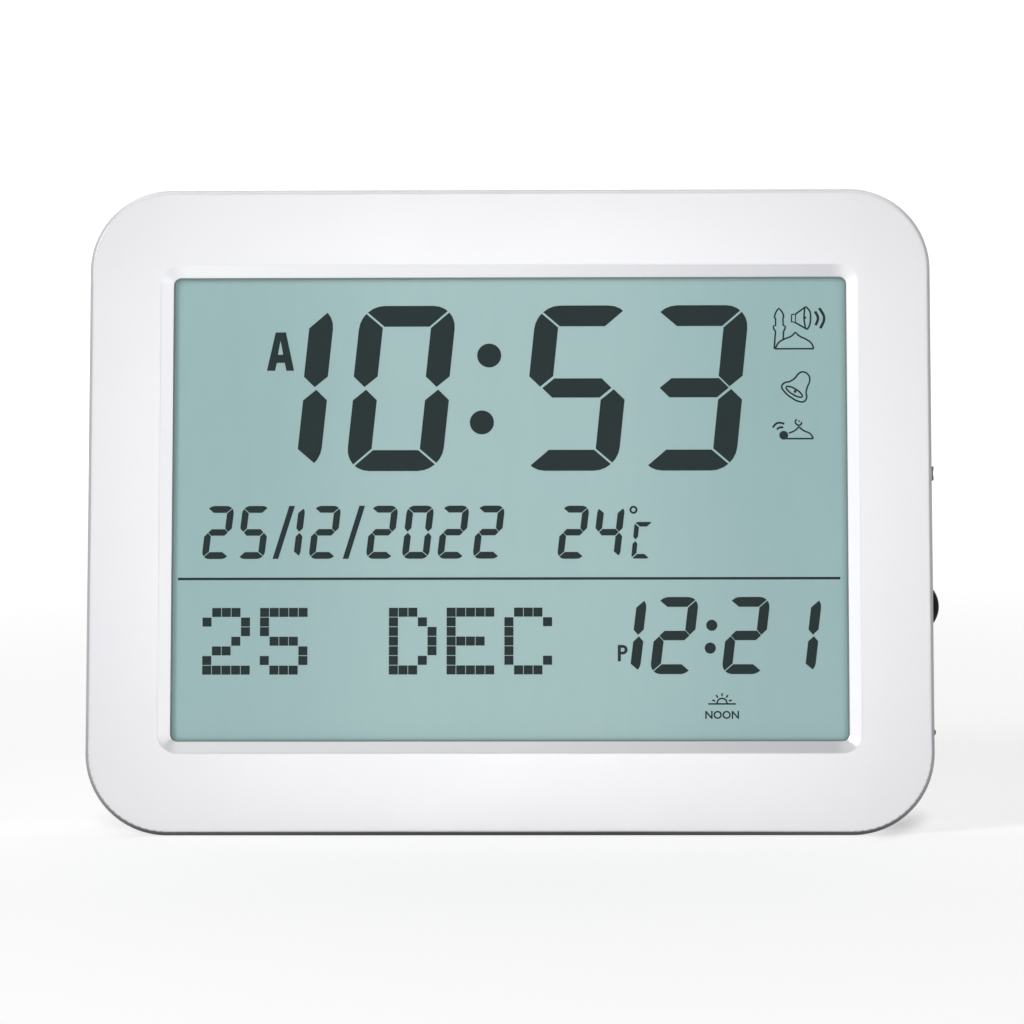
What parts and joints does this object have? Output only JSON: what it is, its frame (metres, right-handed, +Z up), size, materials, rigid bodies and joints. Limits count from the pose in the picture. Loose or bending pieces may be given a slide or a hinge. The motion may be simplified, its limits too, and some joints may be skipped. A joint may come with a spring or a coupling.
{
  "type": "azan clock",
  "caption": "Desk prayer clock: white rounded case with a wide liquid crystal display, leaning back on a fold-out rear leg, with side volume wheel and rear keys.",
  "frame": {"origin": "centre of the flat underside of the case, on the table", "axes": "+X to the right seen from the front, +Y to the back, +Z up; the clock is stored leaning back 12 degrees with its leg opened"},
  "size_m": [0.2476, 0.0684, 0.1842],
  "materials": {
    "pearl_white_case": "satin pearl white",
    "white_rear_case": "fine texture",
    "black_foam": "matt foam",
    "lcd_film": "semi-gloss grey-green film",
    "lcd_glass": "clear",
    "silver_film": "silvered film",
    "grey_rubber": "matt",
    "inner_white_plastic": "moulded",
    "green_board": "solder mask",
    "black_epoxy": "cast epoxy",
    "crystal_can": "tinned",
    "capacitor_sleeve": "printed sleeve",
    "zinc_steel": "zinc plated",
    "black_wheel": "knurled",
    "grey_knob": "moulded",
    "black_bakelite": "moulded",
    "sensor_epoxy": "dipped epoxy",
    "white_leg": "fine texture",
    "foot_rubber": "matt",
    "pin_steel": "drawn",
    "battery_jacket": "printed steel can",
    "nickel_spring": "nickel plated",
    "speaker_frame": "pressed steel",
    "speaker_paper": "black pulp",
    "ferrite": "ferrite",
    "grey_button": "moulded",
    "switch_plastic": "moulded"
  },
  "bodies": {
    "case": {"amplifier_chip": "black_epoxy", "battery_1": "battery_jacket", "battery_2": "battery_jacket", "battery_3": "battery_jacket", "battery_contacts": "nickel_spring", "battery_springs": "nickel_spring", "board_screws": "zinc_steel", "capacitors": "capacitor_sleeve", "case_screws": "zinc_steel", "clock_chip": "black_epoxy", "front_bezel": "pearl_white_case", "key_board": "green_board", "key_board_screws": "zinc_steel", "lcd_front_glass": "lcd_glass", "lcd_front_polariser": "lcd_film", "lcd_holder": "inner_white_plastic", "lcd_rear_glass": "lcd_glass", "lcd_reflector": "silver_film", "leg_pin": "pin_steel", "main_board": "green_board", "quartz_crystal": "crystal_can", "rear_cover": "white_rear_case", "slide_switch_body": "zinc_steel", "speaker_basket": "speaker_frame", "speaker_cone": "speaker_paper", "speaker_magnet": "ferrite", "speaker_screws": "zinc_steel", "tact_switches": "switch_plastic", "temperature_sensor": "sensor_epoxy", "thumbwheel_screw": "zinc_steel", "voice_chip": "black_epoxy", "volume_potentiometer": "black_bakelite", "window_gasket": "black_foam", "zebra_strips": "grey_rubber"},
    "leg": {"stand_leg": "white_leg", "foot_pad": "foot_rubber"},
    "door": {"battery_door": "white_rear_case"},
    "volume_wheel": {"volume_thumbwheel": "black_wheel"},
    "slider": {"slide_switch_knob": "grey_knob"},
    "mode_key": {"mode_button": "grey_button", "mode_plunger": "switch_plastic"},
    "set_key": {"set_button": "grey_button", "set_plunger": "switch_plastic"},
    "down_key": {"down_button": "grey_button", "down_plunger": "switch_plastic"},
    "up_key": {"up_button": "grey_button", "up_plunger": "switch_plastic"},
    "alarm_key": {"alarm_button": "grey_button", "alarm_plunger": "switch_plastic"},
    "azan_key": {"azan_button": "grey_button", "azan_plunger": "switch_plastic"}
  },
  "joints": [
    {"name": "leg_fold", "type": "hinge", "parent": "case", "child": "leg", "pos_m": [0, 0.03755, 0.10983], "axis": [1, 0, 0], "range_deg": [-20, 0]},
    {"name": "door_lift_off", "type": "slide", "parent": "case", "child": "door", "axis": [0, 0.9781, -0.2079], "range_m": [0, 0.025]},
    {"name": "volume_turn", "type": "hinge", "parent": "case", "child": "volume_wheel", "pos_m": [0.1169, 0.01605, 0.06277], "axis": [0, -0.9781, 0.2079], "range_deg": [-150, 150]},
    {"name": "switch_slide", "type": "slide", "parent": "case", "child": "slider", "axis": [0, 0.2079, 0.9781], "range_m": [-0.002, 0]},
    {"name": "mode_press", "type": "slide", "parent": "case", "child": "mode_key", "axis": [0, -0.9781, 0.2079], "range_m": [0, 0.0004], "stiffness_N_per_m": 1200, "springref_m": -0.0001},
    {"name": "set_press", "type": "slide", "parent": "case", "child": "set_key", "axis": [0, -0.9781, 0.2079], "range_m": [0, 0.0004], "stiffness_N_per_m": 1200, "springref_m": -0.0001},
    {"name": "down_press", "type": "slide", "parent": "case", "child": "down_key", "axis": [0, -0.9781, 0.2079], "range_m": [0, 0.0004], "stiffness_N_per_m": 1200, "springref_m": -0.0001},
    {"name": "up_press", "type": "slide", "parent": "case", "child": "up_key", "axis": [0, -0.9781, 0.2079], "range_m": [0, 0.0004], "stiffness_N_per_m": 1200, "springref_m": -0.0001},
    {"name": "alarm_press", "type": "slide", "parent": "case", "child": "alarm_key", "axis": [0, -0.9781, 0.2079], "range_m": [0, 0.0004], "stiffness_N_per_m": 1200, "springref_m": -0.0001},
    {"name": "azan_press", "type": "slide", "parent": "case", "child": "azan_key", "axis": [0, -0.9781, 0.2079], "range_m": [0, 0.0004], "stiffness_N_per_m": 1200, "springref_m": -0.0001}
  ]
}
